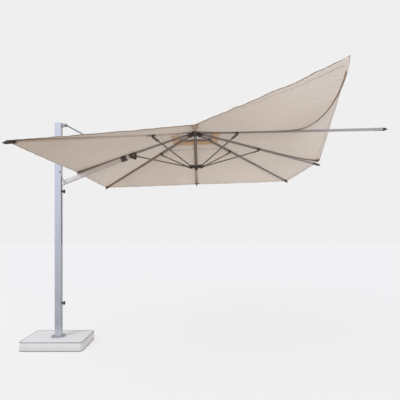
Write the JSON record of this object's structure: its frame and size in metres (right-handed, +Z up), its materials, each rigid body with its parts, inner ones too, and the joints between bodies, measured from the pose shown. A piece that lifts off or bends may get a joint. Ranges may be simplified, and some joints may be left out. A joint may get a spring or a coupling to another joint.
{
  "type": "cantilever parasol",
  "caption": "Square garden parasol hung from a boom on a swivelling mast; the carriage slides down the mast to fold the ribbed canopy.",
  "frame": {"origin": "mast axis on the underside of the base slab", "axes": "+X along the boom towards the canopy, +Z up the mast"},
  "size_m": [3.5846, 3.0561, 2.8844],
  "materials": {
    "base_stone": "painted concrete, satin",
    "silver_tube": "satin anodised",
    "bright_steel": "brushed",
    "galvanised_steel": "galvanised, dull",
    "rib_tube": "satin anodised",
    "dark_plastic": "moulded, matte",
    "canopy_cloth": "woven, proofed"
  },
  "bodies": {
    "root": {"base_slab": "base_stone", "base_flange": "bright_steel", "flange_bolts": "bright_steel", "spigot_tube": "galvanised_steel"},
    "mast": {"mast_tube": "silver_tube", "mast_bushes": "dark_plastic", "mast_cap": "dark_plastic", "top_bracket": "dark_plastic", "stay_pin": "bright_steel"},
    "clamp_knob": {"clamp_knob": "dark_plastic"},
    "carriage": {"carriage_block": "dark_plastic", "boom_pin": "bright_steel"},
    "lock_knob": {"lock_knob": "dark_plastic"},
    "lever": {"release_lever": "dark_plastic"},
    "boom": {"boom_tube": "silver_tube", "boom_collar": "dark_plastic", "boom_end_bracket": "dark_plastic", "rib_mast": "rib_tube", "fittings_mast": "dark_plastic", "canopy_mast": "canopy_cloth"},
    "stay": {"stay_rods": "bright_steel"},
    "hub": {"top_hub": "dark_plastic", "hub_pins": "bright_steel", "post_outer": "dark_plastic", "vent_cap": "canopy_cloth"},
    "post_slider": {"post_middle": "rib_tube"},
    "runner": {"lower_hub": "dark_plastic", "runner_pins": "bright_steel", "post_inner": "rib_tube"},
    "arm_back_left": {"rib_back_left": "rib_tube", "fittings_back_left": "dark_plastic", "canopy_back_left": "canopy_cloth"},
    "arm_back": {"rib_back": "rib_tube", "fittings_back": "dark_plastic", "canopy_back": "canopy_cloth"},
    "arm_back_right": {"rib_back_right": "rib_tube", "fittings_back_right": "dark_plastic", "canopy_back_right": "canopy_cloth"},
    "arm_outer": {"rib_outer": "rib_tube", "fittings_outer": "dark_plastic", "canopy_outer": "canopy_cloth"},
    "arm_front_right": {"rib_front_right": "rib_tube", "fittings_front_right": "dark_plastic", "canopy_front_right": "canopy_cloth"},
    "arm_front": {"rib_front": "rib_tube", "fittings_front": "dark_plastic", "canopy_front": "canopy_cloth"},
    "arm_front_left": {"rib_front_left": "rib_tube", "fittings_front_left": "dark_plastic", "canopy_front_left": "canopy_cloth"},
    "brace_mast": {"strut_mast": "rib_tube"},
    "brace_back_left": {"strut_back_left": "rib_tube"},
    "brace_back": {"strut_back": "rib_tube"},
    "brace_back_right": {"strut_back_right": "rib_tube"},
    "brace_outer": {"strut_outer": "rib_tube"},
    "brace_front_right": {"strut_front_right": "rib_tube"},
    "brace_front": {"strut_front": "rib_tube"},
    "brace_front_left": {"strut_front_left": "rib_tube"}
  },
  "joints": [
    {"name": "mast_swivel", "type": "hinge", "parent": "root", "child": "mast", "pos_m": [0, 0, 0], "axis": [0, 0, 1], "continuous": true},
    {"name": "clamp_turn", "type": "hinge", "parent": "mast", "child": "clamp_knob", "pos_m": [0.048, 0, 0.512], "axis": [1, 0, 0], "range_deg": [0, 540]},
    {"name": "closing", "type": "slide", "parent": "mast", "child": "carriage", "axis": [0, 0, -1], "range_m": [0, 0.63], "deforming": ["canopy_mast", "canopy_back_left", "canopy_back", "canopy_back_right", "canopy_outer", "canopy_front_right", "canopy_front", "canopy_front_left", "vent_cap"]},
    {"name": "lock_turn", "type": "hinge", "parent": "carriage", "child": "lock_knob", "pos_m": [0.048, 0, 1.879], "axis": [1, 0, 0], "range_deg": [0, 540]},
    {"name": "lever_turn", "type": "hinge", "parent": "carriage", "child": "lever", "pos_m": [0.08, -0.038, 1.995], "axis": [0, 1, 0], "range_deg": [0, 70]},
    {"name": "boom_tilt", "type": "hinge", "parent": "carriage", "child": "boom", "pos_m": [0.08, 0, 1.995], "axis": [0, -1, 0], "range_deg": [0, 32.08]},
    {"name": "stay_swing", "type": "hinge", "parent": "mast", "child": "stay", "pos_m": [0.092, 0, 2.691], "axis": [0, 1, 0], "range_deg": [0, 29.74]},
    {"name": "hub_level", "type": "hinge", "parent": "boom", "child": "hub", "pos_m": [1.57403, 0, 2.57039], "axis": [0, 1, 0], "range_deg": [0, 32.08]},
    {"name": "post_slide", "type": "slide", "parent": "hub", "child": "post_slider", "axis": [0.037, 0, -0.9993], "range_m": [0, 0.33847]},
    {"name": "runner_slide", "type": "slide", "parent": "hub", "child": "runner", "axis": [0.037, 0, -0.9993], "range_m": [0, 0.67684]},
    {"name": "brace_swing_mast", "type": "hinge", "parent": "runner", "child": "brace_mast", "pos_m": [1.58842, 0, 2.18166], "axis": [0, 1, 0], "range_deg": [0, 35.93]},
    {"name": "fold_back_left", "type": "hinge", "parent": "hub", "child": "arm_back_left", "pos_m": [1.60271, 0.0693, 2.57145], "axis": [-0.7066, -0.7071, -0.0262], "range_deg": [0, 50.37]},
    {"name": "brace_swing_back_left", "type": "hinge", "parent": "runner", "child": "brace_back_left", "pos_m": [1.6171, 0.0693, 2.18272], "axis": [0.7066, 0.7071, 0.0262], "range_deg": [0, 41.19]},
    {"name": "fold_back", "type": "hinge", "parent": "hub", "child": "arm_back", "pos_m": [1.67196, 0.098, 2.57402], "axis": [-0.9993, 0, -0.037], "range_deg": [0, 31.71]},
    {"name": "brace_swing_back", "type": "hinge", "parent": "runner", "child": "brace_back", "pos_m": [1.68635, 0.098, 2.18528], "axis": [0.9993, 0, 0.037], "range_deg": [0, 35.03]},
    {"name": "fold_back_right", "type": "hinge", "parent": "hub", "child": "arm_back_right", "pos_m": [1.74121, 0.0693, 2.57658], "axis": [-0.7066, 0.7071, -0.0262], "range_deg": [0, 50.37]},
    {"name": "brace_swing_back_right", "type": "hinge", "parent": "runner", "child": "brace_back_right", "pos_m": [1.7556, 0.0693, 2.18785], "axis": [0.7066, -0.7071, 0.0262], "range_deg": [0, 41.19]},
    {"name": "fold_outer", "type": "hinge", "parent": "hub", "child": "arm_outer", "pos_m": [1.76989, 0, 2.57764], "axis": [0, 1, 0], "range_deg": [0, 31.71]},
    {"name": "brace_swing_outer", "type": "hinge", "parent": "runner", "child": "brace_outer", "pos_m": [1.78428, 0, 2.18891], "axis": [0, -1, 0], "range_deg": [0, 35.03]},
    {"name": "fold_front_right", "type": "hinge", "parent": "hub", "child": "arm_front_right", "pos_m": [1.74121, -0.0693, 2.57658], "axis": [0.7066, 0.7071, 0.0262], "range_deg": [0, 50.37]},
    {"name": "brace_swing_front_right", "type": "hinge", "parent": "runner", "child": "brace_front_right", "pos_m": [1.7556, -0.0693, 2.18785], "axis": [-0.7066, -0.7071, -0.0262], "range_deg": [0, 41.19]},
    {"name": "fold_front", "type": "hinge", "parent": "hub", "child": "arm_front", "pos_m": [1.67196, -0.098, 2.57402], "axis": [0.9993, 0, 0.037], "range_deg": [0, 33.72]},
    {"name": "brace_swing_front", "type": "hinge", "parent": "runner", "child": "brace_front", "pos_m": [1.68635, -0.098, 2.18528], "axis": [-0.9993, 0, -0.037], "range_deg": [0, 32.94]},
    {"name": "fold_front_left", "type": "hinge", "parent": "hub", "child": "arm_front_left", "pos_m": [1.60271, -0.0693, 2.57145], "axis": [0.7066, -0.7071, 0.0262], "range_deg": [0, 50.37]},
    {"name": "brace_swing_front_left", "type": "hinge", "parent": "runner", "child": "brace_front_left", "pos_m": [1.6171, -0.0693, 2.18272], "axis": [-0.7066, 0.7071, -0.0262], "range_deg": [0, 41.19]}
  ],
  "couplings": [
    {"joint": "boom_tilt", "follows": "closing", "rad_per_m": 0.88856},
    {"joint": "stay_swing", "follows": "closing", "rad_per_m": 0.82377},
    {"joint": "hub_level", "follows": "closing", "rad_per_m": 0.88856},
    {"joint": "post_slide", "follows": "closing", "ratio": 0.5371},
    {"joint": "runner_slide", "follows": "closing", "ratio": 1.0742},
    {"joint": "brace_swing_mast", "follows": "closing", "rad_per_m": 0.99509},
    {"joint": "fold_back_left", "follows": "closing", "rad_per_m": 1.3952},
    {"joint": "brace_swing_back_left", "follows": "closing", "rad_per_m": 1.1409},
    {"joint": "fold_back", "follows": "closing", "rad_per_m": 0.87812},
    {"joint": "brace_swing_back", "follows": "closing", "rad_per_m": 0.97007},
    {"joint": "fold_back_right", "follows": "closing", "rad_per_m": 1.3952},
    {"joint": "brace_swing_back_right", "follows": "closing", "rad_per_m": 1.1409},
    {"joint": "fold_outer", "follows": "closing", "rad_per_m": 0.87812},
    {"joint": "brace_swing_outer", "follows": "closing", "rad_per_m": 0.97007},
    {"joint": "fold_front_right", "follows": "closing", "rad_per_m": 1.3952},
    {"joint": "brace_swing_front_right", "follows": "closing", "rad_per_m": 1.1409},
    {"joint": "fold_front", "follows": "closing", "rad_per_m": 0.93378},
    {"joint": "brace_swing_front", "follows": "closing", "rad_per_m": 0.91235},
    {"joint": "fold_front_left", "follows": "closing", "rad_per_m": 1.3952},
    {"joint": "brace_swing_front_left", "follows": "closing", "rad_per_m": 1.1409}
  ]
}
